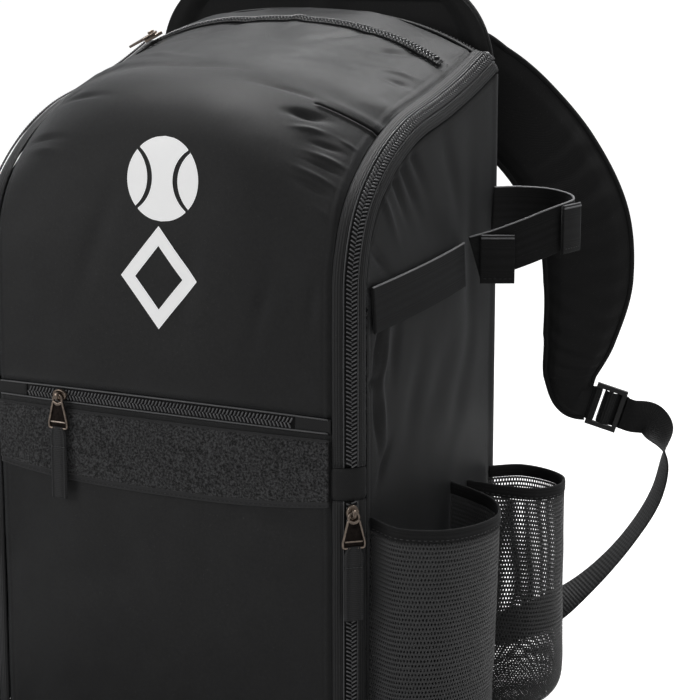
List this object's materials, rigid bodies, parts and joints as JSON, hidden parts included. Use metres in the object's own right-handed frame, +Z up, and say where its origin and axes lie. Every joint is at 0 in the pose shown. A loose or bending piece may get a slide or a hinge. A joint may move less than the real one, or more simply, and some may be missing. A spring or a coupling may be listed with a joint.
{
  "type": "baseball bat backpack",
  "caption": "Black fabric sports backpack with a zipped front and lid, a fuzzy strip across the front, mesh side pockets, stretch bat straps and padded shoulder straps.",
  "frame": {"origin": "middle of the base's underside, on the floor", "axes": "+Z up; the front faces -Y and the wearer's back is at +Y; +X is the bag's side that shows in the picture"},
  "size_m": [0.5034, 0.3531, 0.5663],
  "materials": {
    "body_fabric": "smooth black twill with a soft sheen",
    "padding": "padded matte black cloth",
    "loop_fabric": "fuzzy dark grey loop fastener",
    "zip_tape": "woven herringbone tape",
    "zip_coil": "glossy nylon coil",
    "mesh": "open knitted mesh",
    "binding": "matte binding tape",
    "elastic": "ribbed elastic",
    "webbing": "ribbed webbing",
    "bronze_metal": "dark antique bronze",
    "black_plastic": "moulded acetal"
  },
  "bodies": {
    "bag": {"back_panel": "padding", "base_panel": "body_fabric", "front_band_tab_left": "elastic", "front_band_tab_right": "elastic", "front_slider": "bronze_metal", "front_top_panel": "body_fabric", "front_zip_coil": "zip_coil", "front_zip_patch_left": "body_fabric", "front_zip_patch_right": "body_fabric", "front_zip_tape": "zip_tape", "haul_handle": "webbing", "ladder_lock_left": "black_plastic", "ladder_lock_right": "black_plastic", "loop_band_left": "elastic", "loop_band_right": "elastic", "loop_strip": "loop_fabric", "lower_front_panel": "body_fabric", "lower_left_slider": "bronze_metal", "lower_right_slider": "bronze_metal", "lower_zip_coil_left": "zip_coil", "lower_zip_coil_right": "zip_coil", "lower_zip_tape_left": "zip_tape", "lower_zip_tape_right": "zip_tape", "main_slider": "bronze_metal", "main_zip_coil": "zip_coil", "main_zip_tape": "zip_tape", "rear_band_tab_left": "elastic", "rear_band_tab_right": "elastic", "shoulder_strap_left": "padding", "shoulder_strap_right": "padding", "side_band_left": "elastic", "side_band_right": "elastic", "side_panel_left": "body_fabric", "side_panel_right": "body_fabric", "side_pocket_left": "mesh", "side_pocket_right": "mesh", "side_pocket_rim_left": "binding", "side_pocket_rim_right": "binding", "stop_patch_left": "body_fabric", "stop_patch_right": "body_fabric", "strap_anchor_left": "webbing", "strap_anchor_right": "webbing", "strap_webbing_left": "webbing", "strap_webbing_right": "webbing", "tall_sleeve_left": "mesh", "tall_sleeve_right": "mesh", "tall_sleeve_rim_left": "binding", "tall_sleeve_rim_right": "binding", "top_slider": "bronze_metal", "top_zip_coil": "zip_coil", "top_zip_tape": "zip_tape"},
    "lower_right_pull": {"lower_right_puller": "bronze_metal", "lower_right_pull_tab": "webbing"},
    "lower_left_pull": {"lower_left_puller": "bronze_metal", "lower_left_pull_tab": "webbing"},
    "main_pull": {"main_puller": "bronze_metal"},
    "front_pull": {"front_puller": "bronze_metal", "front_pull_tab": "webbing"},
    "top_pull": {"top_puller": "bronze_metal"}
  },
  "joints": [
    {"name": "lower_right_pull_hinge", "type": "hinge", "parent": "bag", "child": "lower_right_pull", "pos_m": [0.15072, -0.11772, 0.18865], "axis": [-0.7071, -0.7071, 0], "range_deg": [0, 170]},
    {"name": "lower_left_pull_hinge", "type": "hinge", "parent": "bag", "child": "lower_left_pull", "pos_m": [-0.15072, -0.11772, 0.18865], "axis": [-0.7071, 0.7071, 0], "range_deg": [0, 170]},
    {"name": "main_pull_hinge", "type": "hinge", "parent": "bag", "child": "main_pull", "pos_m": [-0.15072, -0.11772, 0.22535], "axis": [-0.7071, 0.7071, 0], "range_deg": [0, 170]},
    {"name": "front_pull_hinge", "type": "hinge", "parent": "bag", "child": "front_pull", "pos_m": [-0.076, -0.12878, 0.24609], "axis": [-1, 0, 0], "range_deg": [0, 170]},
    {"name": "top_pull_hinge", "type": "hinge", "parent": "bag", "child": "top_pull", "pos_m": [-0.11338, 0.05257, 0.48443], "axis": [-0.9113, 0.1145, -0.3956], "range_deg": [0, 170]}
  ]
}
